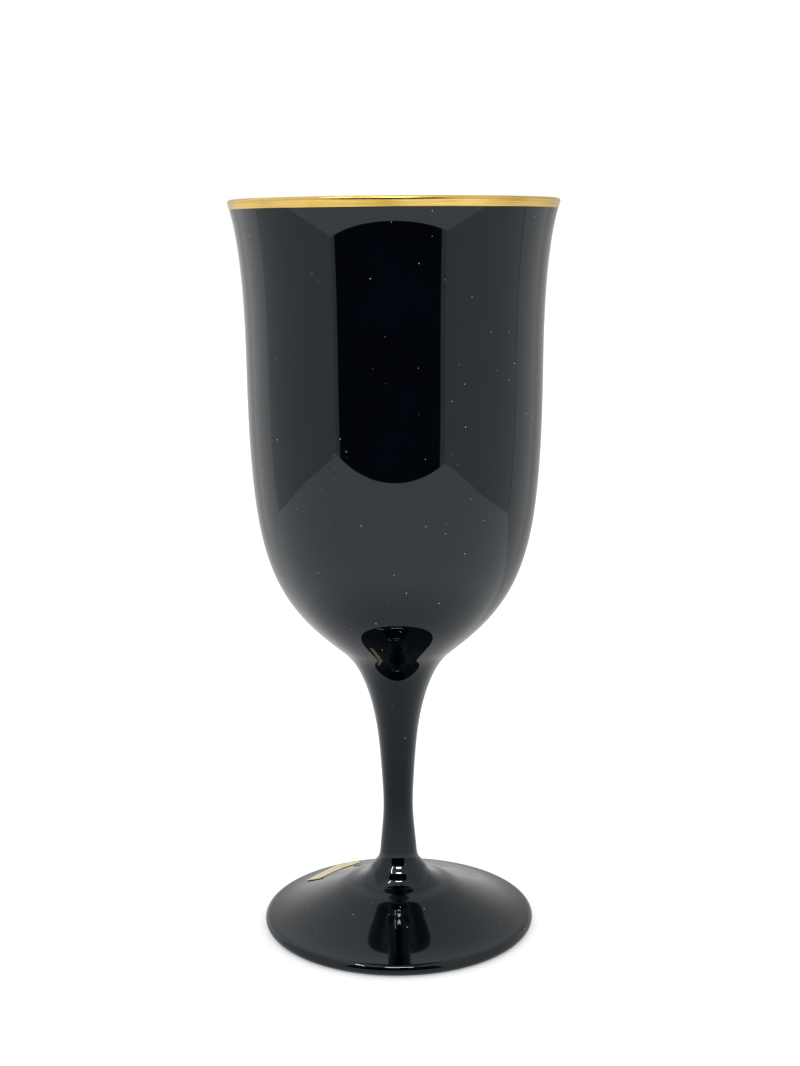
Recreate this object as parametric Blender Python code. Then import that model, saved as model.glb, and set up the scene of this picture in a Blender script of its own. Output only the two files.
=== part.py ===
"""Black glass goblet with a fired gold rim, built from its separate pieces.

The goblet stands on the XY plane with its axis on +Z, and the origin is the
centre of the foot's resting ring. Lengths are metres; stations are written in
millimetres and scaled by MM. Every turned piece is one closed outline of
(radius, height) points, swept once around Z.
"""

import math

import bmesh
import bpy
import numpy
from mathutils import Vector

MM = 0.001

# Driving dimensions.
GAP = 0.3 * MM                      # clearance kept between touching pieces
LIP_CENTRE = Vector((40.55, 189.3)) * MM
LIP_ROUND = 0.7 * MM                # half the thickness of the fire-polished lip
LIP_LEAN = -18.0                    # lean of the wall where it meets the lip
SEAM_HEIGHT = 62.0 * MM             # where the bowl is joined to the stem
SEAM_DISH = 1.2 * MM                # depth of the domed joint face
STEM_END_HEIGHT = 14.35 * MM
COLLAR_TOP = 14.05 * MM
COLLAR_BOTTOM = 12.45 * MM
FOOT_TOP = 12.15 * MM
FOOT_RADIUS = 35.8 * MM
FOOT_EDGE_ROUND = 1.55 * MM
RING_INNER_RADIUS = 29.5 * MM       # the foot rests on the flat ring outside this
FOOT_DISH_DEPTH = 3.4 * MM
BAND_THICKNESS = 0.15 * MM
BAND_DROP = 1.6 * MM                # how far the gold runs down below the lip's rounding
LABEL_THICKNESS = 0.15 * MM
LABEL_LENGTH = 20.5 * MM
LABEL_WIDTH = 5.0 * MM
LABEL_CORNER = Vector((-21.7, 13.2)) * MM
LABEL_TURN = 58.0                   # direction of the label's length from +X
LABEL_REACH = 33.9 * MM             # the label is trimmed at this distance from the axis

# Stations of the smooth lines: radius and height in millimetres, going down.
# The bowl's line and the lower line meet at the neck with one direction but
# different curvatures, as blown glass meets drawn glass.
BOWL_STATIONS = [
    (38.95, 178.2), (37.95, 167.5), (37.36, 142.5), (36.18, 117.5),
    (33.84, 103.0), (29.7, 92.0), (23.69, 83.5), (14.76, 75.3),
]
NECK_LEAN = -50.5
LOWER_STATIONS = [                  # down the stem, over the collar and out over the foot
    (14.76, 75.3), (11.6, 72.0), (9.55, 68.5), (7.15, 62.0), (5.5, 54.2), (4.28, 41.0),
    (3.96, 31.0), (4.76, 21.0), (5.07, 18.5), (5.42, 17.51), (5.9, 16.83), (6.75, 15.85),
    (7.42, 15.0), (7.74, 14.45), (8.5, 13.48), (9.35, 12.72), (10.5, 11.98), (11.6, 11.49),
    (14.0, 10.78), (15.6, 10.12), (18.0, 8.93), (20.5, 7.8), (27.5, 4.9), (34.25, 3.1),
]
FOOT_END_LEAN = 82.0
INSIDE_STATIONS = [
    (37.3, 179.5), (36.1, 163.0), (35.75, 142.5), (34.4, 119.0), (31.5, 104.0),
    (26.5, 93.8), (18.5, 85.6), (9.5, 79.8), (0.0, 77.5),
]

# Smoothness of the solids.
ROUND_STEPS = 40
SLIM_STEPS = 24
LINE_STEPS = 2                      # pieces between two stations
LIP_STEPS = 10                      # with the lip's lean, these reach its top and its side
EDGE_STEPS = 6
FACE_STEPS = 4
LABEL_COLUMNS = 9
LABEL_ROWS = 3
SHARP_ANGLE = math.radians(35.0)

GLASS_BLACK = (0.004, 0.005, 0.006)
GOLD = (0.78, 0.47, 0.11)
FOIL = (0.80, 0.70, 0.38)


def clear_scene():
    for item in list(bpy.data.objects):
        bpy.data.objects.remove(item, do_unlink=True)


def make_material(name, colour, roughness, metallic=0.0):
    material = bpy.data.materials.new(name)
    material.use_nodes = True
    shader = material.node_tree.nodes["Principled BSDF"]
    shader.inputs["Base Color"].default_value = (*colour, 1.0)
    shader.inputs["Roughness"].default_value = roughness
    shader.inputs["Metallic"].default_value = metallic
    material.diffuse_color = (*colour, 1.0)
    return material


def way(lean):
    """Unit step down an outline that leans out by this many degrees."""
    angle = math.radians(lean)
    return Vector((math.sin(angle), -math.cos(angle)))


def scaled(stations):
    return [Vector(station) * MM for station in stations]


def smooth_line(stations, start_lean, end_lean, steps=LINE_STEPS):
    """Cubic spline of continuous curvature through the stations, with set end leans."""
    points = numpy.array([tuple(s) for s in stations])
    spans = numpy.diff(points, axis=0)
    chord = numpy.linalg.norm(spans, axis=1)
    slope = spans / chord[:, None]
    count = len(points)
    system = numpy.identity(count)
    right = numpy.zeros((count, 2))
    right[0] = way(start_lean)
    right[-1] = way(end_lean)
    for i in range(1, count - 1):
        before, after = chord[i - 1], chord[i]
        system[i, i - 1:i + 2] = (after, 2 * (before + after), before)
        right[i] = 3 * (after * slope[i - 1] + before * slope[i])
    ways = numpy.linalg.solve(system, right)
    line = [points[0]]
    for i in range(count - 1):
        for t in numpy.linspace(0.0, 1.0, steps + 1)[1:]:
            s = 1.0 - t
            place = s * s * (1 + 2 * t) * points[i] + t * t * (1 + 2 * s) * points[i + 1]
            line.append(place + chord[i] * s * t * (s * ways[i] - t * ways[i + 1]))
    return [Vector((float(x), float(y))) for x, y in line]


def arc(centre, radius, from_angle, to_angle, steps):
    """Points on a circle in the outline plane, angles in degrees from outwards."""
    points = []
    for i in range(steps + 1):
        angle = math.radians(from_angle + (to_angle - from_angle) * i / steps)
        points.append(centre + radius * Vector((math.cos(angle), math.sin(angle))))
    return points


def turned(name, outline, steps, material):
    """Sweep a closed outline around Z; it runs down the outside and up the inside."""
    mesh = bmesh.new()
    rings = []
    for point in outline:
        if point.x == 0.0:
            rings.append([mesh.verts.new((0.0, 0.0, point.y))])
            continue
        ring = []
        for i in range(steps):
            angle = 2 * math.pi * i / steps
            ring.append(mesh.verts.new((point.x * math.cos(angle), point.x * math.sin(angle), point.y)))
        rings.append(ring)
    pairs = list(zip(rings, rings[1:]))
    if len(rings[0]) > 1:
        pairs.append((rings[-1], rings[0]))
    for upper, lower in pairs:
        bridge(mesh, upper, lower, steps)
    return finish_mesh(name, mesh, material)


def bridge(mesh, upper, lower, steps):
    """Faces between two rings, either of which may be a single point on the axis."""
    for i in range(steps):
        j = (i + 1) % steps
        corners = [upper[i % len(upper)], lower[i % len(lower)]]
        if len(lower) > 1:
            corners.append(lower[j])
        if len(upper) > 1:
            corners.append(upper[j])
        mesh.faces.new(corners)


def finish_mesh(name, mesh, material):
    data = bpy.data.meshes.new(name)
    mesh.to_mesh(data)
    mesh.free()
    data.shade_smooth()
    data.set_sharp_from_angle(angle=SHARP_ANGLE)
    data.materials.append(material)
    item = bpy.data.objects.new(name, data)
    bpy.context.scene.collection.objects.link(item)
    return item


def lip_side(side, inset=0.0, drop=0.0):
    """A point on the outer (+1) or inner (-1) face of the wall, `drop` below the lip's rounding."""
    down = way(LIP_LEAN)
    across = Vector((-down.y, down.x))
    return LIP_CENTRE + across * side * (LIP_ROUND - inset) + down * drop


def side_line():
    """The outer line of the whole goblet, from the lip's rounding to the foot's round edge."""
    bowl = smooth_line([lip_side(1)] + scaled(BOWL_STATIONS), LIP_LEAN, NECK_LEAN)
    return bowl + smooth_line(scaled(LOWER_STATIONS), NECK_LEAN, FOOT_END_LEAN)[1:]


def radius_at(line, height):
    """Radius of a line that runs down, at a height between its ends."""
    for upper, lower in zip(line, line[1:]):
        if lower.y <= height <= upper.y:
            share = (upper.y - height) / (upper.y - lower.y)
            return upper.x + (lower.x - upper.x) * share
    raise ValueError("the line does not reach this height")


def stretch(line, high, low):
    """The part of a line between two heights, with points exactly at both."""
    inside = [p for p in line if low < p.y < high]
    return [Vector((radius_at(line, high), high))] + inside + [Vector((radius_at(line, low), low))]


def height_at(line, radius):
    """Height of a line that runs outwards, at a radius between its ends."""
    for inner, outer in zip(line, line[1:]):
        if inner.x <= radius <= outer.x:
            share = (radius - inner.x) / (outer.x - inner.x)
            return inner.y + (outer.y - inner.y) * share
    raise ValueError("the line does not reach this radius")


def seam_face(rim_radius, rim_height):
    """The joint face's outline: a shallow spherical cap, from its rim down to the axis."""
    sphere = (rim_radius ** 2 + SEAM_DISH ** 2) / (2 * SEAM_DISH)
    middle = rim_height - SEAM_DISH + sphere
    points = []
    for i in range(FACE_STEPS + 1):
        radius = rim_radius * (1 - i / FACE_STEPS)
        points.append(Vector((radius, middle - math.sqrt(sphere ** 2 - radius ** 2))))
    return points


def build_bowl(material):
    """Blown bowl; its lip is a slimmer tongue, which leaves room for the gold band."""
    recess = BAND_THICKNESS + GAP
    drop = BAND_DROP + GAP
    shoulder = lip_side(1, drop=drop)
    ledge = lip_side(-1, drop=drop)
    line = side_line()
    outer = [p for p in line if SEAM_HEIGHT < p.y < shoulder.y]
    joint = seam_face(radius_at(line, SEAM_HEIGHT), SEAM_HEIGHT)
    inside = smooth_line([ledge] + scaled(INSIDE_STATIONS), LIP_LEAN, -90.0)
    tongue = [lip_side(-1, recess, drop)]
    tongue += arc(LIP_CENTRE, LIP_ROUND - recess, LIP_LEAN + 180, LIP_LEAN, LIP_STEPS)
    tongue.append(lip_side(1, recess, drop))
    outline = inside[::-1] + tongue + [shoulder] + outer + joint
    return turned("bowl", outline, ROUND_STEPS, material)


def build_gold_band(material):
    """Thin gold cap that wraps the lip from the outside to the inside."""
    inner_round = LIP_ROUND - BAND_THICKNESS
    outline = [lip_side(-1, drop=BAND_DROP)]
    outline += arc(LIP_CENTRE, LIP_ROUND, LIP_LEAN + 180, LIP_LEAN, LIP_STEPS)
    outline += [lip_side(1, drop=BAND_DROP), lip_side(1, BAND_THICKNESS, BAND_DROP)]
    outline += arc(LIP_CENTRE, inner_round, LIP_LEAN, LIP_LEAN + 180, LIP_STEPS)
    outline.append(lip_side(-1, BAND_THICKNESS, BAND_DROP))
    return turned("gold_rim_band", outline, ROUND_STEPS, material)


def build_stem(material):
    """Drawn stem with a cupped top under the bowl and a flared end on the collar."""
    line = side_line()
    top = SEAM_HEIGHT - GAP
    cup = seam_face(radius_at(line, top), top)[::-1]
    side = stretch(line, top, STEM_END_HEIGHT)[1:]
    return turned("stem", cup + side + [Vector((0.0, STEM_END_HEIGHT))], SLIM_STEPS, material)


def build_collar(material):
    """Round pad of glass with a hollow flank, between the stem and the foot."""
    flank = stretch(side_line(), COLLAR_TOP, COLLAR_BOTTOM)
    outline = [Vector((0.0, COLLAR_TOP))] + flank + [Vector((0.0, COLLAR_BOTTOM))]
    return turned("foot_collar", outline, SLIM_STEPS, material)


def foot_dome():
    """The foot's top line, from under the collar out to the rounded edge."""
    line = side_line()
    return stretch(line, FOOT_TOP, line[-1].y)


def build_foot(material):
    """Foot with a gently domed top, a round edge and a dished underside."""
    edge_centre = Vector((FOOT_RADIUS - FOOT_EDGE_ROUND, FOOT_EDGE_ROUND))
    edge = arc(edge_centre, FOOT_EDGE_ROUND, 90, -90, EDGE_STEPS)
    dish = []
    for i in range(EDGE_STEPS):
        angle = math.radians(90 * i / EDGE_STEPS)
        dish.append(Vector((RING_INNER_RADIUS * math.cos(angle), FOOT_DISH_DEPTH * math.sin(angle))))
    dish.append(Vector((0.0, FOOT_DISH_DEPTH)))
    dome = foot_dome()
    pad = Vector((0.0, dome[0].y))
    return turned("foot", [pad] + dome[:-1] + edge + dish, ROUND_STEPS, material)


def label_place(along_share, across_share):
    """A point of the label in plan, by its shares of the length and of the width there."""
    turn = math.radians(LABEL_TURN)
    along = Vector((math.cos(turn), math.sin(turn)))
    across = Vector((-along.y, along.x))
    inner = LABEL_CORNER + along * LABEL_LENGTH * along_share
    outwards = inner.dot(across)
    to_trim = math.sqrt(outwards ** 2 - inner.length_squared + LABEL_REACH ** 2) - outwards
    return inner + across * min(LABEL_WIDTH, to_trim) * across_share


def label_sheet(mesh, dome, lift):
    """One face of the label: a grid of corners that lies `lift` above the foot's top."""
    corners = []
    for i in range(LABEL_COLUMNS + 1):
        for j in range(LABEL_ROWS + 1):
            place = label_place(i / LABEL_COLUMNS, j / LABEL_ROWS)
            height = height_at(dome, place.length) + lift
            corners.append(mesh.verts.new((place.x, place.y, height)))
    return corners


def label_border():
    """Indices of the sheet's border corners, in order around it."""
    stride = LABEL_ROWS + 1
    last = LABEL_COLUMNS * stride
    border = [i * stride for i in range(LABEL_COLUMNS + 1)]
    border += [last + j for j in range(1, stride)]
    border += [i * stride + LABEL_ROWS for i in reversed(range(LABEL_COLUMNS))]
    border += list(range(LABEL_ROWS - 1, 0, -1))
    return border


def build_label(material):
    """Small blank foil label that follows the foot's top."""
    mesh = bmesh.new()
    dome = foot_dome()
    lower = label_sheet(mesh, dome, GAP)
    upper = label_sheet(mesh, dome, GAP + LABEL_THICKNESS)
    stride = LABEL_ROWS + 1
    for i in range(LABEL_COLUMNS):
        for j in range(LABEL_ROWS):
            k = i * stride + j
            quad = [k, k + stride, k + stride + 1, k + 1]
            mesh.faces.new([upper[corner] for corner in quad])
            mesh.faces.new([lower[corner] for corner in reversed(quad)])
    border = label_border()
    for a, b in zip(border, border[1:] + border[:1]):
        mesh.faces.new([lower[a], lower[b], upper[b], upper[a]])
    return finish_mesh("foil_label", mesh, material)


def main():
    clear_scene()
    build_bowl(make_material("bowl_glass", GLASS_BLACK, 0.02))
    build_gold_band(make_material("rim_gold", GOLD, 0.18, metallic=1.0))
    build_stem(make_material("stem_glass", GLASS_BLACK, 0.02))
    build_collar(make_material("collar_glass", GLASS_BLACK, 0.02))
    build_foot(make_material("foot_glass", GLASS_BLACK, 0.02))
    build_label(make_material("label_foil", FOIL, 0.3, metallic=1.0))


main()
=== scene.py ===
"""The looks of the black glass goblet with a fired gold rim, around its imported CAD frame.

The glass pieces are fine surfaces of revolution. Their outlines are smooth lines
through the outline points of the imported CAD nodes, so size and place come from the
frame. The goblet stands in a small white light tent with a dark front opening,
which gives black glass its reflections.
"""

import math

import bmesh
import bpy
import numpy
from mathutils import Euler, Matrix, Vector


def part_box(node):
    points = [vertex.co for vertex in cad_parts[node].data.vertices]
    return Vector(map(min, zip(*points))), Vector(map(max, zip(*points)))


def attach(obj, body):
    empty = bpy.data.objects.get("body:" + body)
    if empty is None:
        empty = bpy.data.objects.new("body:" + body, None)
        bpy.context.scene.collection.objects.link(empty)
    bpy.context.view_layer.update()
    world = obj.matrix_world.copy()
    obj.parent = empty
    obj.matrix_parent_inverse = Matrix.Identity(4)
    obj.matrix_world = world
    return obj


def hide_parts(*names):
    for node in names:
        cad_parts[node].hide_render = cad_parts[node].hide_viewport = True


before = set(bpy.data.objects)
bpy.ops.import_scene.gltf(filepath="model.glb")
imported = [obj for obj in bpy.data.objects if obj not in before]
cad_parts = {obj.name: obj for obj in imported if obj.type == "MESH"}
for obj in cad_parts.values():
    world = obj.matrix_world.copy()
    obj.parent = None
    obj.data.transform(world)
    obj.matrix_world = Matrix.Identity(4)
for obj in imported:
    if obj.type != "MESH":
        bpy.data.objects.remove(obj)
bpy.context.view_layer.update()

MM = 0.001

# Shape details that the CAD solids leave out.
LIP_ROUND = 0.7 * MM            # half the thickness of the fire-polished lip
LIP_LEAN = -18.0                # lean of the wall where it meets the lip
GOLD_SINK = 0.05 * MM           # the glass lies this far under the gold's face
GOLD_THICKNESS = 0.04 * MM
GOLD_DROP = 1.55 * MM           # the gold's lower edge, below the lip's rounding
GOLD_WAVER = 0.05 * MM          # the hand-laid edge rises and falls by this much
GOLD_WAVES = ((1.0, 3, 0.7), (0.6, 7, 2.1), (0.35, 17, 0.0))  # size, waves round the rim, phase
GOLD_RAMP = 0.25 * MM           # the glass comes up to its full line over this length
SEAM_GAP = 0.02 * MM            # hairline between two pieces of glass
NECK_HEIGHT = 75.3 * MM         # the bowl's curve meets the stem's curve here
NECK_LEAN = -50.5
EDGE_START = 82.0               # the foot's edge rounding starts at this angle
EDGE_SPARE = 0.8 * MM           # CAD points nearer than this to the edge rounding are left out
SEAM_SPARE = 0.5 * MM           # and nearer than this to the seam of bowl and stem
END_SPARE = 0.1 * MM            # and nearer than this to a lower piece's end
LABEL_THICKNESS = 0.06 * MM
LABEL_LIFT = 0.06 * MM
LABEL_CURL = 0.12 * MM          # its free end has come up a little
LABEL_CURL_SHARE = 0.1          # the share of its length that has come up
LABEL_CRINKLE = 0.02 * MM

# Fineness of the meshes.
TURN_STEPS = 256
LINE_SPACING = 0.6 * MM
RIM_SPACING = 0.08 * MM
RIM_REACH = 4.0 * MM            # the finer spacing holds this far down from the lip
GOLD_STEPS = 16
ARC_STEPS = 24
LABEL_COLUMNS = 72
LABEL_ROWS = 24
SHARP_ANGLE = math.radians(35.0)

# Finishes.
GLASS_DEEP = (0.0001, 0.0005, 0.0020)
GLASS_HAZE = (0.0005, 0.0011, 0.0030)
GLASS_IOR = 1.53
GLASS_GLINT = (0.82, 0.94, 1.0)  # tint of the reflections seen face on
PAINTED_STEM_SHADE = (0.44, 0.57, 0.58)  # painted shade: the stem's reflections are made darker and greener, standing in for the darker floor they reflect
STEM_SHADE_REACH = (0.016, 0.026, 0.050, 0.078)  # heights over which that painted shade comes and goes
GLASS_RIPPLE = 0.02 * MM
RIPPLE_SCALE = 30.0             # all scales are in waves, patches or cells in a metre
SMUDGE_SCALE = 55.0
SEED_SHIFT = (0.013, 0.007, 0.011)  # from one piece's smudges and specks to the next piece's
DUST_COLOUR = (0.55, 0.56, 0.58)
DUST_CELLS = 650.0
DUST_SIZE = 0.085               # the largest speck's radius, in cells
DUST_SMALLEST = 0.3             # the smallest speck, against the largest
DUST_SHARE = 0.2                # the share of cells that hold a speck
DUST_ROUGHNESS = 0.8
GOLD_DEEP = (0.58, 0.35, 0.07)
GOLD_MIDDLE = (0.86, 0.58, 0.14)
GOLD_PALE = (0.93, 0.71, 0.27)
GOLD_COAT = 0.2                 # the flux glaze over the fired gold
GOLD_STREAKS = (60.0, 60.0, 4500.0)  # scale of the brush marks, which run round the rim
GOLD_PATCHES = 90.0
FOIL_DEEP = (0.66, 0.55, 0.26)
FOIL_PALE = (0.88, 0.80, 0.48)
FOIL_CRINKLE = 700.0

# Light tent, in metres; the camera looks along +Y from just inside its opening.
TENT_LEFT = -0.485
TENT_RIGHT = 0.41
TENT_FRONT = -0.465
TENT_BACK = 0.125
TENT_TOP = 0.68
CLOTH_STEP = 0.001              # between screens that would otherwise share a plane
LEFT_WALL = ((-0.462, TENT_FRONT), (-0.48, -0.29), (-0.483, -0.15), (-0.437, 0.01), (-0.388, TENT_BACK))
RIGHT_WALL = ((0.352, TENT_FRONT), (0.388, -0.375), (0.407, -0.24), (0.404, -0.07), (0.381, 0.07))
SEAM_WIDTH = 0.02
FLANGE = 0.044                  # the cloth's turned edge beside the opening
BINDING = 0.004
SIDE_GLOW = 0.72
FLANGE_GLOW = 0.55
BACK_GLOW = 1.0
HIGH_SHARE = 0.72               # the back wall behind the goblet, against its foot
HIGH_REACH = (0.01, 0.07)       # heights over which it falls to that share
OUTER_SHARE = 0.95              # the back wall and ceiling to both sides of the goblet
OUTER_REACH = (0.08, 0.14)
RIGHT_SHARE = 0.8
RIGHT_REACH = (-0.06, 0.08)
SEAM_GLOW = 0.3
DARK_GLOW = 0.02
STRIP_GLOW = 60.0
STRIP_DROP = 0.002              # the lamp strips hang this far below the ceiling
FRONT_STRIP = ((-0.12, -0.445), (0.12, -0.405))
LEFT_STRIP = ((-0.325, -0.40), (-0.305, -0.22))
FLOOR_GLOW = 0.30
FLOOR_REACH = 3.0
SHADE_GLOW = 0.62               # the floor near the goblet, as the glass sees it
SHADE_RADIUS = 0.05
OPEN_GLOW = 1.08
OPEN_RADIUS = 0.13
SHADE_HEIGHT = 0.0002
FLOOR_DARK = (0.80, 0.80, 0.80)
FLOOR_PALE = (0.84, 0.84, 0.84)
FLOOR_GRAIN = 40.0
WORLD_GLOW = 1.05

# Camera, calibrated on the goblet's size.
CAMERA_LENS = 53.87
CAMERA_PLACE = (0.00099, -0.4047, 0.1811)
CAMERA_PITCH = 10.557
CAMERA_ROLL = -0.41


# ---------------------------------------------------------------- outlines

def way(lean):
    """Unit step down an outline that leans out by this many degrees."""
    angle = math.radians(lean)
    return numpy.array((math.sin(angle), -math.cos(angle)))


def node_outline(node):
    """Outline points (radius, height) of a turned CAD node, walked along its y = 0 edge chain."""
    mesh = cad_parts[node].data
    tiny = 1e-6

    def on_plane(vertex):
        return abs(vertex.co.y) < tiny and vertex.co.x > -tiny

    def key(vertex):
        return (round(max(vertex.co.x, 0.0), 7), round(vertex.co.z, 7))

    links = {}
    for edge in mesh.edges:
        a, b = (mesh.vertices[i] for i in edge.vertices)
        if on_plane(a) and on_plane(b) and key(a) != key(b):
            links.setdefault(key(a), set()).add(key(b))
            links.setdefault(key(b), set()).add(key(a))
    ends = [point for point, near in links.items() if len(near) == 1]
    here = max(ends or links, key=lambda point: point[1])
    walk = [here]
    while True:
        onward = [point for point in links[here] if point not in walk]
        if not onward:
            return [numpy.array(point) for point in walk]
        here = onward[0]
        walk.append(here)


def smooth_line(stations, start_way, end_way):
    """Cubic spline of continuous curvature through the stations, with set end directions."""
    points = numpy.array(stations)
    spans = numpy.diff(points, axis=0)
    chord = numpy.linalg.norm(spans, axis=1)
    slope = spans / chord[:, None]
    count = len(points)
    system = numpy.identity(count)
    right = numpy.zeros((count, 2))
    right[0] = start_way
    right[-1] = end_way
    for i in range(1, count - 1):
        before, after = chord[i - 1], chord[i]
        system[i, i - 1:i + 2] = (after, 2 * (before + after), before)
        right[i] = 3 * (after * slope[i - 1] + before * slope[i])
    ways = numpy.linalg.solve(system, right)
    line = [points[0]]
    for i in range(count - 1):
        steps = max(2, math.ceil(chord[i] / LINE_SPACING))
        for t in numpy.linspace(0.0, 1.0, steps + 1)[1:]:
            s = 1.0 - t
            place = s * s * (1 + 2 * t) * points[i] + t * t * (1 + 2 * s) * points[i + 1]
            line.append(place + chord[i] * s * t * (s * ways[i] - t * ways[i + 1]))
    return numpy.array(line)


def arc(centre, radii, from_angle, to_angle, steps=ARC_STEPS):
    """Points on an ellipse in the outline plane, angles in degrees from outwards."""
    angles = numpy.radians(numpy.linspace(from_angle, to_angle, steps + 1))
    return numpy.stack([centre[0] + radii[0] * numpy.cos(angles),
                        centre[1] + radii[1] * numpy.sin(angles)], axis=1)


def smoothstep(value):
    clamped = numpy.clip(value, 0.0, 1.0)
    return clamped * clamped * (3 - 2 * clamped)


def run_length(line):
    """Distance along a line at each of its points."""
    return numpy.concatenate([[0.0], numpy.cumsum(numpy.linalg.norm(numpy.diff(line, axis=0), axis=1))])


def left_normals(line):
    """Unit normals on the left of the line's direction."""
    along = numpy.gradient(line, axis=0)
    along /= numpy.linalg.norm(along, axis=1)[:, None]
    return numpy.stack([-along[:, 1], along[:, 0]], axis=1)


def at_lengths(line, lengths):
    """The line's points at these distances along it."""
    run = run_length(line)
    return numpy.stack([numpy.interp(lengths, run, line[:, k]) for k in (0, 1)], axis=1)


# ---------------------------------------------------------------- meshes

def turned(name, outline_at, material, node):
    """Sweep a closed outline around Z; outline_at(angle) gives its points, down the outside."""
    mesh = bmesh.new()
    columns = []
    poles = {}
    for i in range(TURN_STEPS):
        angle = 2 * math.pi * i / TURN_STEPS
        column = []
        for k, (radius, height) in enumerate(outline_at(angle)):
            if radius < 1e-7:
                if k not in poles:
                    poles[k] = mesh.verts.new((0.0, 0.0, height))
                column.append(poles[k])
            else:
                place = (radius * math.cos(angle), radius * math.sin(angle), height)
                column.append(mesh.verts.new(place))
        columns.append(column)
    for left, right in zip(columns, columns[1:] + columns[:1]):
        for k in range(len(left)):
            n = (k + 1) % len(left)
            corners = [left[k], left[n]]
            if right[n] is not left[n]:
                corners.append(right[n])
            if right[k] is not left[k]:
                corners.append(right[k])
            if len(corners) > 2:
                mesh.faces.new(corners)
    return add_piece(name, mesh, material, node)


def fixed(outline):
    """The same outline at every angle."""
    return lambda angle: outline


def add_piece(name, mesh, material, node):
    """Turn a bmesh into a smooth piece that rides on the root body and stands for its CAD node."""
    data = bpy.data.meshes.new(name)
    mesh.to_mesh(data)
    mesh.free()
    data.shade_smooth()
    data.set_sharp_from_angle(angle=SHARP_ANGLE)
    data.materials.append(material)
    piece = bpy.data.objects.new(name, data)
    bpy.context.scene.collection.objects.link(piece)
    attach(piece, "root")
    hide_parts(node)
    return piece


# ---------------------------------------------------------------- lines of the goblet

BAND_LOW, BAND_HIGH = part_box("gold_rim_band")
LIP_CENTRE = numpy.array((BAND_HIGH.x - LIP_ROUND, BAND_HIGH.z - LIP_ROUND))
LIP_ACROSS = numpy.array((math.cos(math.radians(LIP_LEAN)), math.sin(math.radians(LIP_LEAN))))


def foot_edge():
    """The foot's round edge, from the end of its domed top to the resting ring."""
    points = node_outline("foot")
    widest = max(points, key=lambda point: point[0])
    centre = (widest[0] - widest[1], widest[1])
    return arc(centre, (widest[1], widest[1]), EDGE_START, -90)


def outer_line():
    """The line of the goblet's outside, from the lip's rounding to the foot's round edge."""
    bowl = node_outline("bowl")
    top = int(numpy.argmax([p[1] for p in bowl]))
    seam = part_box("stem")[1].z
    below_lip = BAND_LOW.z - 2 * LIP_ROUND
    edge = foot_edge()
    stations = [LIP_CENTRE + LIP_ACROSS * LIP_ROUND]
    stations += [p for p in bowl[top:] if seam + SEAM_SPARE < p[1] < below_lip]
    stem = node_outline("stem")
    rim = int(numpy.argmax([p[1] for p in stem]))
    stations += [p for p in stem[rim + 1:] if p[1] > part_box("stem")[0].z + END_SPARE]
    low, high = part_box("foot_collar")
    collar = node_outline("foot_collar")
    stations += [p for p in collar if low.z + END_SPARE < p[1] < high.z - END_SPARE]
    foot = node_outline("foot")
    widest = int(numpy.argmax([p[0] for p in foot]))
    foot_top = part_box("foot")[1].z - END_SPARE
    last_radius = edge[0, 0] - 2 * EDGE_SPARE
    stations += [p for p in foot[:widest] if p[1] < foot_top and p[0] < last_radius]
    stations.append(edge[0])
    neck = int(numpy.argmin([abs(p[1] - NECK_HEIGHT) for p in stations]))
    bowl_line = smooth_line(stations[:neck + 1], way(LIP_LEAN), way(NECK_LEAN))
    lower_line = smooth_line(stations[neck:], way(NECK_LEAN), way(EDGE_START))
    return numpy.concatenate([bowl_line, lower_line[1:]])


def inner_line():
    """The line of the bowl's inside, from the lip's rounding to the axis."""
    bowl = node_outline("bowl")
    top = int(numpy.argmax([p[1] for p in bowl]))
    below_lip = BAND_LOW.z - 2 * LIP_ROUND
    stations = [p for p in bowl[:top] if p[1] < below_lip]
    stations.append(LIP_CENTRE - LIP_ACROSS * LIP_ROUND)
    return smooth_line(stations[::-1], way(LIP_LEAN), numpy.array((-1.0, 0.0)))


SIDE = outer_line()
INSIDE = inner_line()


def stretch(high, low):
    """The part of the side line between two heights, with points exactly at both."""
    inside = SIDE[(SIDE[:, 1] < high) & (SIDE[:, 1] > low)]
    ends = [(numpy.interp(height, SIDE[::-1, 1], SIDE[::-1, 0]), height) for height in (high, low)]
    return numpy.concatenate([ends[:1], inside, ends[1:]])


def seam_index():
    """Where the side line passes from the bowl to the stem."""
    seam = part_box("stem")[1].z + SEAM_GAP
    return int(numpy.argmax(SIDE[:, 1] < seam))


def gold_drop(angle):
    """Length of gold below the lip's rounding, as a slightly unsteady hand left it."""
    waver = sum(size * math.sin(count * angle + phase) for size, count, phase in GOLD_WAVES)
    return GOLD_DROP + GOLD_WAVER * waver / 2


def sunk(line, angle, side):
    """The glass line under the gold: set in by GOLD_SINK as far as the gold reaches."""
    run = run_length(line)
    depth = GOLD_SINK * (1 - smoothstep((run - gold_drop(angle)) / GOLD_RAMP + 0.5))
    return line - left_normals(line) * (side * depth)[:, None]


def near_lip(line):
    """Extra points on the line's first stretch, so that the gold's edge is crisp."""
    run = run_length(line)
    fine = numpy.arange(0.0, RIM_REACH, RIM_SPACING)
    return at_lengths(line, numpy.unique(numpy.concatenate([fine, run[run > fine[-1]]])))


# ---------------------------------------------------------------- pieces

def bowl_outline():
    """Outline of the blown bowl at an angle, down the outside, along the joint and up the inside."""
    split = seam_index()
    outside = near_lip(SIDE[:split])
    inside = near_lip(INSIDE)
    rim = SIDE[split - 1]
    seam_floor = numpy.array((0.0, rim[1]))
    lip = arc(LIP_CENTRE, (LIP_ROUND - GOLD_SINK,) * 2, 180 + LIP_LEAN, LIP_LEAN)[1:-1]

    def outline_at(angle):
        outer = sunk(outside, angle, 1)
        inner = sunk(inside, angle, -1)
        return numpy.concatenate([lip, outer, [seam_floor], inner[::-1]])
    return outline_at


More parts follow.
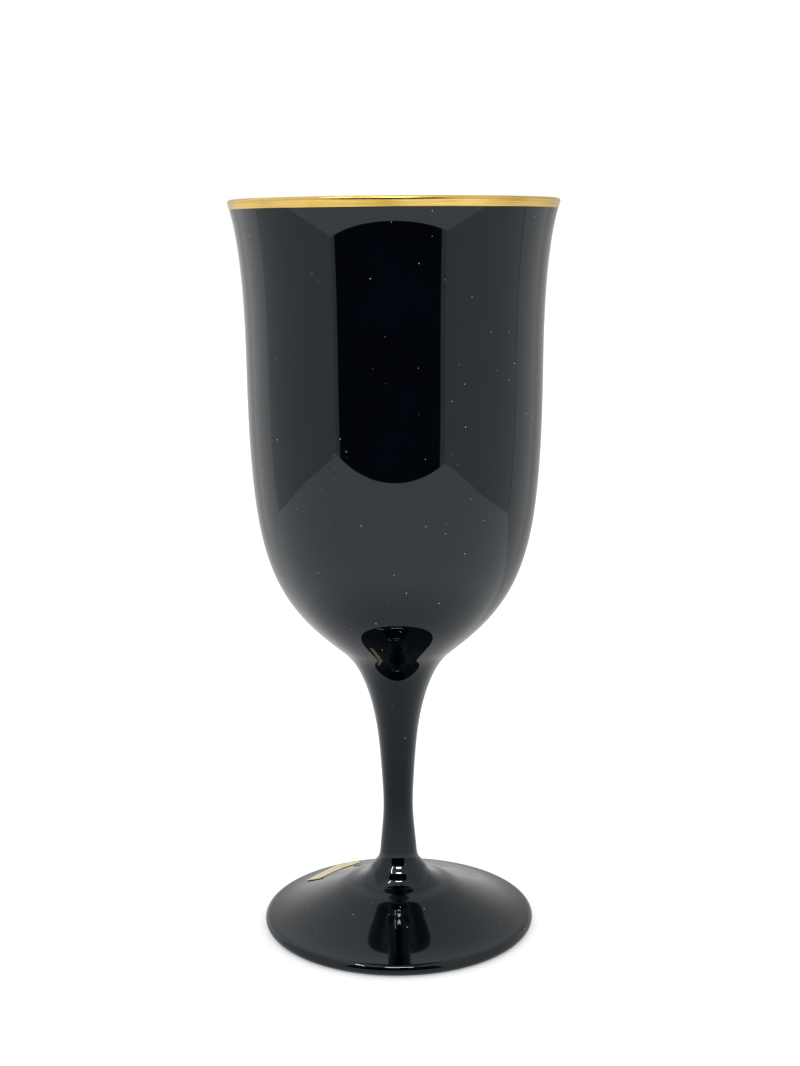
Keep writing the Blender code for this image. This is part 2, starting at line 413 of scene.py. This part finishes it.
def gold_outline():
    """Outline of the thin fired gold over the lip at an angle."""
    outside = near_lip(SIDE)
    inside = near_lip(INSIDE)
    inner_round = LIP_ROUND - GOLD_THICKNESS
    over = arc(LIP_CENTRE, (LIP_ROUND,) * 2, 180 + LIP_LEAN, LIP_LEAN)[1:-1]
    under = arc(LIP_CENTRE, (inner_round,) * 2, LIP_LEAN, 180 + LIP_LEAN)[1:-1]

    def outline_at(angle):
        lengths = numpy.linspace(0.0, gold_drop(angle), GOLD_STEPS)
        outer = at_lengths(outside, lengths)
        inner = at_lengths(inside, lengths)
        outer_under = outer - left_normals(outer) * GOLD_THICKNESS
        inner_under = inner + left_normals(inner) * GOLD_THICKNESS
        return numpy.concatenate([over, outer, outer_under[::-1], under, inner_under, inner[::-1]])
    return outline_at


def solid_between(high, low):
    """Closed outline of the solid glass between two heights of the side line."""
    return numpy.concatenate([[(0.0, high)], stretch(high, low), [(0.0, low)]])


def stem_outline():
    """Outline of the drawn stem, from the bowl down to its joint with the collar."""
    return solid_between(SIDE[seam_index() - 1, 1] - SEAM_GAP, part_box("stem")[0].z)


def collar_outline():
    """Outline of the collar between the stem and the foot."""
    return solid_between(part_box("stem")[0].z - SEAM_GAP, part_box("foot_collar")[0].z)


def foot_outline():
    """Outline of the foot: its domed top, round edge and dished underside."""
    dome = stretch(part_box("foot_collar")[0].z - SEAM_GAP, SIDE[-1, 1])
    edge = foot_edge()
    points = node_outline("foot")
    widest = int(numpy.argmax([p[0] for p in points]))
    ring_radius = max(p[0] for p in points[widest:] if p[0] < edge[-1, 0] - EDGE_SPARE)
    dish = arc((0.0, 0.0), (ring_radius, points[-1][1]), 0, 90, 2 * ARC_STEPS)
    dish[-1, 0] = 0.0
    return numpy.concatenate([[(0.0, dome[0, 1])], dome[:-1], edge, dish])


# ---------------------------------------------------------------- label

def height_at(line, radius):
    """Height of a line that runs outwards, at a radius."""
    return float(numpy.interp(radius, line[:, 0], line[:, 1]))


def label_plan():
    """The CAD label in plan: its near inner corner, its two ways, its size and its trim's radius."""
    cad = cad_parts["foil_label"].data
    flat = numpy.array([(v.co.x, v.co.y) for v in cad.vertices])
    near = flat[numpy.argmin(flat[:, 1])]
    far = flat[numpy.argmax(flat[:, 0])]
    length = numpy.linalg.norm(far - near)
    along = (far - near) / length
    across = numpy.array((-along[1], along[0]))
    width = (flat[numpy.argmin(flat[:, 0])] - near) @ across
    reach = numpy.linalg.norm(flat, axis=1).max()
    return near, along, across, length, width, reach


def label_sheet(mesh, dome, thickness):
    """One face of the label: rows of corners over the foot's top, trimmed like the CAD label."""
    near, along, across, length, full_width, reach = label_plan()
    rows = []
    for i in range(LABEL_COLUMNS + 1):
        u = i / LABEL_COLUMNS
        inner = near + along * u * length
        outwards = inner @ across
        to_trim = math.sqrt(outwards ** 2 - inner @ inner + reach ** 2) - outwards
        width = min(full_width, to_trim)
        curl = LABEL_CURL * smoothstep((LABEL_CURL_SHARE - u) / LABEL_CURL_SHARE)
        row = []
        for j in range(LABEL_ROWS + 1):
            v = j / LABEL_ROWS
            place = inner + across * v * width
            crinkle = LABEL_CRINKLE * math.sin(18 * u + 4 * v) * math.cos(10 * v - 6 * u)
            lift = LABEL_LIFT + curl + crinkle + thickness
            height = height_at(dome, math.hypot(*place)) + lift
            row.append(mesh.verts.new((place[0], place[1], height)))
        rows.append(row)
    return rows


def build_label(material):
    """Thin blank foil label on the foot's top."""
    outline = foot_outline()
    dome = outline[1:int(numpy.argmax(outline[:, 0]))]
    mesh = bmesh.new()
    under = label_sheet(mesh, dome, 0.0)
    over = label_sheet(mesh, dome, LABEL_THICKNESS)
    for i in range(LABEL_COLUMNS):
        for j in range(LABEL_ROWS):
            mesh.faces.new([over[i][j], over[i + 1][j], over[i + 1][j + 1], over[i][j + 1]])
            mesh.faces.new([under[i][j], under[i][j + 1], under[i + 1][j + 1], under[i + 1][j]])
    for i in range(LABEL_COLUMNS):
        for j, flip in ((0, False), (LABEL_ROWS, True)):
            quad = [under[i][j], under[i + 1][j], over[i + 1][j], over[i][j]]
            mesh.faces.new(quad[::-1] if flip else quad)
    for j in range(LABEL_ROWS):
        for i, flip in ((0, True), (LABEL_COLUMNS, False)):
            quad = [under[i][j], under[i][j + 1], over[i][j + 1], over[i][j]]
            mesh.faces.new(quad[::-1] if flip else quad)
    return add_piece("label_sheet", mesh, material, "foil_label")


# ---------------------------------------------------------------- materials

def node_tree(name):
    """A new material with its node tree, Principled shader and object coordinates."""
    material = bpy.data.materials.new(name)
    material.use_nodes = True
    nodes = material.node_tree.nodes
    shader = nodes["Principled BSDF"]
    coordinates = nodes.new("ShaderNodeTexCoord")
    return material, shader, coordinates.outputs["Object"]


def noise(material, vector, scale, detail=3.0, roughness=0.5):
    texture = material.node_tree.nodes.new("ShaderNodeTexNoise")
    texture.inputs["Scale"].default_value = scale
    texture.inputs["Detail"].default_value = detail
    texture.inputs["Roughness"].default_value = roughness
    material.node_tree.links.new(vector, texture.inputs["Vector"])
    return texture.outputs["Fac"]


def stretched(material, vector, scale):
    mapping = material.node_tree.nodes.new("ShaderNodeMapping")
    mapping.inputs["Scale"].default_value = scale
    material.node_tree.links.new(vector, mapping.inputs["Vector"])
    return mapping.outputs["Vector"]


def spread(material, value, from_low, from_high, to_low, to_high):
    """Map a value's range onto another range, held at its ends."""
    node = material.node_tree.nodes.new("ShaderNodeMapRange")
    node.inputs["From Min"].default_value = from_low
    node.inputs["From Max"].default_value = from_high
    node.inputs["To Min"].default_value = to_low
    node.inputs["To Max"].default_value = to_high
    material.node_tree.links.new(value, node.inputs["Value"])
    return node.outputs["Result"]


def combine(material, operation, first, second):
    node = material.node_tree.nodes.new("ShaderNodeMath")
    node.operation = operation
    for socket, value in zip(node.inputs, (first, second)):
        if isinstance(value, float):
            socket.default_value = value
        else:
            material.node_tree.links.new(value, socket)
    return node.outputs["Value"]


def colours(material, value, stops):
    """Colour ramp over a value; stops are (place, colour)."""
    ramp = material.node_tree.nodes.new("ShaderNodeValToRGB")
    elements = ramp.color_ramp.elements
    while len(elements) < len(stops):
        elements.new(0.5)
    for element, (place, colour) in zip(elements, stops):
        element.position = place
        element.color = (*colour, 1.0)
    material.node_tree.links.new(value, ramp.inputs["Fac"])
    return ramp.outputs["Color"]


def bump(material, height, distance):
    node = material.node_tree.nodes.new("ShaderNodeBump")
    node.inputs["Strength"].default_value = 1.0
    node.inputs["Distance"].default_value = distance
    material.node_tree.links.new(height, node.inputs["Height"])
    return node.outputs["Normal"]


def dust(material, vector):
    """Mask of sparse round specks: one in a share of the cells, of varied size."""
    nodes, links = material.node_tree.nodes, material.node_tree.links
    cell = nodes.new("ShaderNodeTexVoronoi")
    cell.inputs["Scale"].default_value = DUST_CELLS
    links.new(vector, cell.inputs["Vector"])
    pick = nodes.new("ShaderNodeSeparateColor")
    links.new(cell.outputs["Color"], pick.inputs["Color"])
    chosen = combine(material, "LESS_THAN", pick.outputs["Red"], DUST_SHARE)
    reach = spread(material, pick.outputs["Green"], 0.0, 1.0, DUST_SMALLEST * DUST_SIZE, DUST_SIZE)
    near = combine(material, "LESS_THAN", cell.outputs["Distance"], reach)
    return combine(material, "MULTIPLY", chosen, near)


def glint(material, place):
    """Tint of the reflections at a height: full for the blown glass, darker and greener on the drawn
    stem as painted shade.
    """
    axes = material.node_tree.nodes.new("ShaderNodeSeparateXYZ")
    material.node_tree.links.new(place, axes.inputs["Vector"])
    tints = (GLASS_GLINT, PAINTED_STEM_SHADE, PAINTED_STEM_SHADE, GLASS_GLINT)
    return colours(material, axes.outputs["Z"], list(zip(STEM_SHADE_REACH, tints)))


def black_glass(name, seed):
    """Opaque black glass: fire-polished, faintly smudged, with a few specks of dust."""
    material, shader, place = node_tree(name)
    links = material.node_tree.links
    shifted = material.node_tree.nodes.new("ShaderNodeMapping")
    shifted.inputs["Location"].default_value = [seed * shift for shift in SEED_SHIFT]
    links.new(place, shifted.inputs["Vector"])
    vector = shifted.outputs["Vector"]
    specks = dust(material, vector)
    smudge = noise(material, vector, SMUDGE_SCALE, 4.0, 0.6)
    tone = colours(material, smudge, [(0.35, GLASS_DEEP), (0.75, GLASS_HAZE)])
    mix = material.node_tree.nodes.new("ShaderNodeMix")
    mix.data_type = "RGBA"
    links.new(specks, mix.inputs["Factor"])
    links.new(tone, mix.inputs["A"])
    mix.inputs["B"].default_value = (*DUST_COLOUR, 1.0)
    links.new(mix.outputs["Result"], shader.inputs["Base Color"])
    polish = spread(material, smudge, 0.45, 0.8, 0.0, 0.05)
    rough = combine(material, "ADD", polish, combine(material, "MULTIPLY", specks, DUST_ROUGHNESS))
    links.new(rough, shader.inputs["Roughness"])
    shader.inputs["IOR"].default_value = GLASS_IOR
    # painted shade: the reflections are darkened on the stem, by height
    links.new(glint(material, place), shader.inputs["Specular Tint"])
    ripple = noise(material, vector, RIPPLE_SCALE, 1.0)
    links.new(bump(material, ripple, GLASS_RIPPLE), shader.inputs["Normal"])
    return material


def fired_gold():
    """Thin fired gold, with faint streaks of the brush around the rim."""
    material, shader, place = node_tree("fired_gold")
    links = material.node_tree.links
    streaks = noise(material, stretched(material, place, GOLD_STREAKS), 1.0, 4.0, 0.6)
    patches = noise(material, place, GOLD_PATCHES)
    both = combine(material, "ADD", combine(material, "MULTIPLY", streaks, 0.7),
                   combine(material, "MULTIPLY", patches, 0.3))
    tone = colours(material, both, [(0.36, GOLD_DEEP), (0.50, GOLD_MIDDLE), (0.64, GOLD_PALE)])
    links.new(tone, shader.inputs["Base Color"])
    links.new(spread(material, streaks, 0.3, 0.7, 0.2, 0.36), shader.inputs["Roughness"])
    shader.inputs["Metallic"].default_value = 1.0
    shader.inputs["Coat Weight"].default_value = GOLD_COAT
    shader.inputs["Coat Roughness"].default_value = 0.08
    links.new(bump(material, streaks, 0.01 * MM), shader.inputs["Normal"])
    return material


def gold_foil():
    """Pale gold foil with a fine crinkle."""
    material, shader, place = node_tree("gold_foil")
    links = material.node_tree.links
    crinkle = noise(material, place, FOIL_CRINKLE, 4.0, 0.6)
    tone = colours(material, crinkle, [(0.35, FOIL_DEEP), (0.65, FOIL_PALE)])
    links.new(tone, shader.inputs["Base Color"])
    links.new(spread(material, crinkle, 0.3, 0.7, 0.25, 0.42), shader.inputs["Roughness"])
    shader.inputs["Metallic"].default_value = 1.0
    links.new(bump(material, crinkle, 0.05 * MM), shader.inputs["Normal"])
    return material


# ---------------------------------------------------------------- light tent

def glow(name, radiance, tint=(1.0, 1.0, 1.0)):
    """A light-giving material for the tent's cloth and lamps."""
    material = bpy.data.materials.new(name)
    material.use_nodes = True
    nodes = material.node_tree.nodes
    nodes.clear()
    emission = nodes.new("ShaderNodeEmission")
    emission.inputs["Color"].default_value = (*tint, 1.0)
    emission.inputs["Strength"].default_value = radiance
    output = nodes.new("ShaderNodeOutputMaterial")
    material.node_tree.links.new(emission.outputs["Emission"], output.inputs["Surface"])
    return material


def panel(name, corners, material):
    """A flat four-cornered screen that the camera doesn't see, only the reflections."""
    data = bpy.data.meshes.new(name)
    data.from_pydata(corners, [], [(0, 1, 2, 3)])
    data.materials.append(material)
    item = bpy.data.objects.new(name, data)
    bpy.context.scene.collection.objects.link(item)
    item.visible_camera = False
    item.visible_diffuse = False
    item.visible_shadow = False
    return item


def wall(name, start, end, material):
    """An upright screen of the tent's height, from one ground point to another."""
    corners = [(*start, 0.0), (*end, 0.0), (*end, TENT_TOP), (*start, TENT_TOP)]
    return panel(name, corners, material)


def sheet(name, low, high, height, material):
    """A level screen over a ground rectangle."""
    corners = [(low[0], low[1], height), (high[0], low[1], height),
               (high[0], high[1], height), (low[0], high[1], height)]
    return panel(name, corners, material)


def back_cloth():
    """The back wall's glow: faintest behind the goblet above its foot, and on the right."""
    material = glow("tent_back", 1.0)
    nodes, links = material.node_tree.nodes, material.node_tree.links
    axes = nodes.new("ShaderNodeSeparateXYZ")
    links.new(nodes.new("ShaderNodeTexCoord").outputs["Object"], axes.inputs["Vector"])
    height = spread(material, axes.outputs["Z"], *HIGH_REACH, BACK_GLOW, BACK_GLOW * HIGH_SHARE)
    sideways = combine(material, "ABSOLUTE", axes.outputs["X"], 0.0)
    outer = spread(material, sideways, *OUTER_REACH, 0.0, BACK_GLOW * OUTER_SHARE)
    turn = spread(material, axes.outputs["X"], *RIGHT_REACH, 1.0, RIGHT_SHARE)
    cloth = combine(material, "MAXIMUM", height, outer)
    links.new(combine(material, "MULTIPLY", cloth, turn), nodes["Emission"].inputs["Strength"])
    return material


def build_tent():
    """White tent, open and dark towards the camera, with lamp strips on its ceiling."""
    side = glow("tent_side", SIDE_GLOW)
    back = back_cloth()
    flange = glow("tent_flange", FLANGE_GLOW)
    seam = glow("tent_seam", SEAM_GLOW)
    for name, line, inwards in (("left", LEFT_WALL, 1), ("right", RIGHT_WALL, -1)):
        for i, (start, end) in enumerate(zip(line, line[1:])):
            wall(f"{name}_side_{i}", start, end, side)
        corner = line[-1]
        wall(name + "_seam", corner, (corner[0] + inwards * SEAM_WIDTH, corner[1] - CLOTH_STEP), seam)
        front = line[0][0]
        near = front + inwards * FLANGE
        step = TENT_FRONT + CLOTH_STEP
        wall(name + "_flange", (front, step), (near, step), flange)
        wall(name + "_binding", (near, step), (near + inwards * BINDING, step), seam)
    wall("back", LEFT_WALL[-1], RIGHT_WALL[-1], back)
    dark = glow("tent_dark", DARK_GLOW)
    wall("front_opening", (TENT_LEFT, TENT_FRONT), (TENT_RIGHT, TENT_FRONT), dark)
    sheet("ceiling", (TENT_LEFT, TENT_FRONT), (TENT_RIGHT, TENT_BACK), TENT_TOP, back)
    strip = glow("lamp_strip", STRIP_GLOW)
    for name, (low, high) in (("front_strip", FRONT_STRIP), ("left_strip", LEFT_STRIP)):
        sheet(name, low, high, TENT_TOP - STRIP_DROP, strip)


def build_floor_shade():
    """The floor as the glass sees it: greyer in the goblet's own shade."""
    material = glow("floor_shade", 1.0)
    nodes, links = material.node_tree.nodes, material.node_tree.links
    place = nodes.new("ShaderNodeTexCoord").outputs["Object"]
    length = nodes.new("ShaderNodeVectorMath")
    length.operation = "LENGTH"
    links.new(place, length.inputs[0])
    away = length.outputs["Value"]
    shade = spread(material, away, SHADE_RADIUS, OPEN_RADIUS, SHADE_GLOW, OPEN_GLOW)
    links.new(shade, nodes["Emission"].inputs["Strength"])
    sheet("floor_shade", (TENT_LEFT, TENT_FRONT), (TENT_RIGHT, TENT_BACK), SHADE_HEIGHT, material)


def build_floor():
    """Plain pale floor, slightly self-lit so that it stays as pale as the backdrop."""
    material, shader, place = node_tree("pale_floor")
    links = material.node_tree.links
    grain = noise(material, place, FLOOR_GRAIN)
    tone = colours(material, grain, [(0.3, FLOOR_DARK), (0.7, FLOOR_PALE)])
    links.new(tone, shader.inputs["Base Color"])
    shader.inputs["Roughness"].default_value = 0.9
    shader.inputs["Emission Color"].default_value = (1.0, 1.0, 1.0, 1.0)
    shader.inputs["Emission Strength"].default_value = FLOOR_GLOW
    data = bpy.data.meshes.new("floor")
    reach = FLOOR_REACH
    corners = [(-reach, -reach, 0), (reach, -reach, 0), (reach, reach, 0), (-reach, reach, 0)]
    data.from_pydata(corners, [], [(0, 1, 2, 3)])
    data.materials.append(material)
    floor = bpy.data.objects.new("floor", data)
    bpy.context.scene.collection.objects.link(floor)


def build_world():
    world = bpy.data.worlds.new("studio")
    bpy.context.scene.world = world
    world.use_nodes = True
    background = world.node_tree.nodes["Background"]
    background.inputs["Color"].default_value = (1.0, 1.0, 1.0, 1.0)
    background.inputs["Strength"].default_value = WORLD_GLOW


def build_camera():
    """The camera stands just below the rim's height and looks a little down."""
    data = bpy.data.cameras.new("camera")
    data.lens = CAMERA_LENS
    camera = bpy.data.objects.new("camera", data)
    bpy.context.scene.collection.objects.link(camera)
    camera.location = CAMERA_PLACE
    tilt = Euler((math.radians(90 - CAMERA_PITCH), 0.0, 0.0)).to_matrix()
    roll = Euler((0.0, 0.0, math.radians(CAMERA_ROLL))).to_matrix()
    camera.rotation_euler = (tilt @ roll).to_euler()
    bpy.context.scene.camera = camera


def main():
    bpy.context.scene.view_settings.view_transform = "Standard"
    build_camera()
    build_world()
    build_floor()
    build_tent()
    build_floor_shade()
    turned("blown_bowl", bowl_outline(), black_glass("bowl_glass", 1), "bowl")
    turned("fired_rim", gold_outline(), fired_gold(), "gold_rim_band")
    turned("drawn_stem", fixed(stem_outline()), black_glass("stem_glass", 2), "stem")
    turned("melted_collar", fixed(collar_outline()), black_glass("collar_glass", 3),
           "foot_collar")
    turned("domed_foot", fixed(foot_outline()), black_glass("foot_glass", 4), "foot")
    build_label(gold_foil())


main()
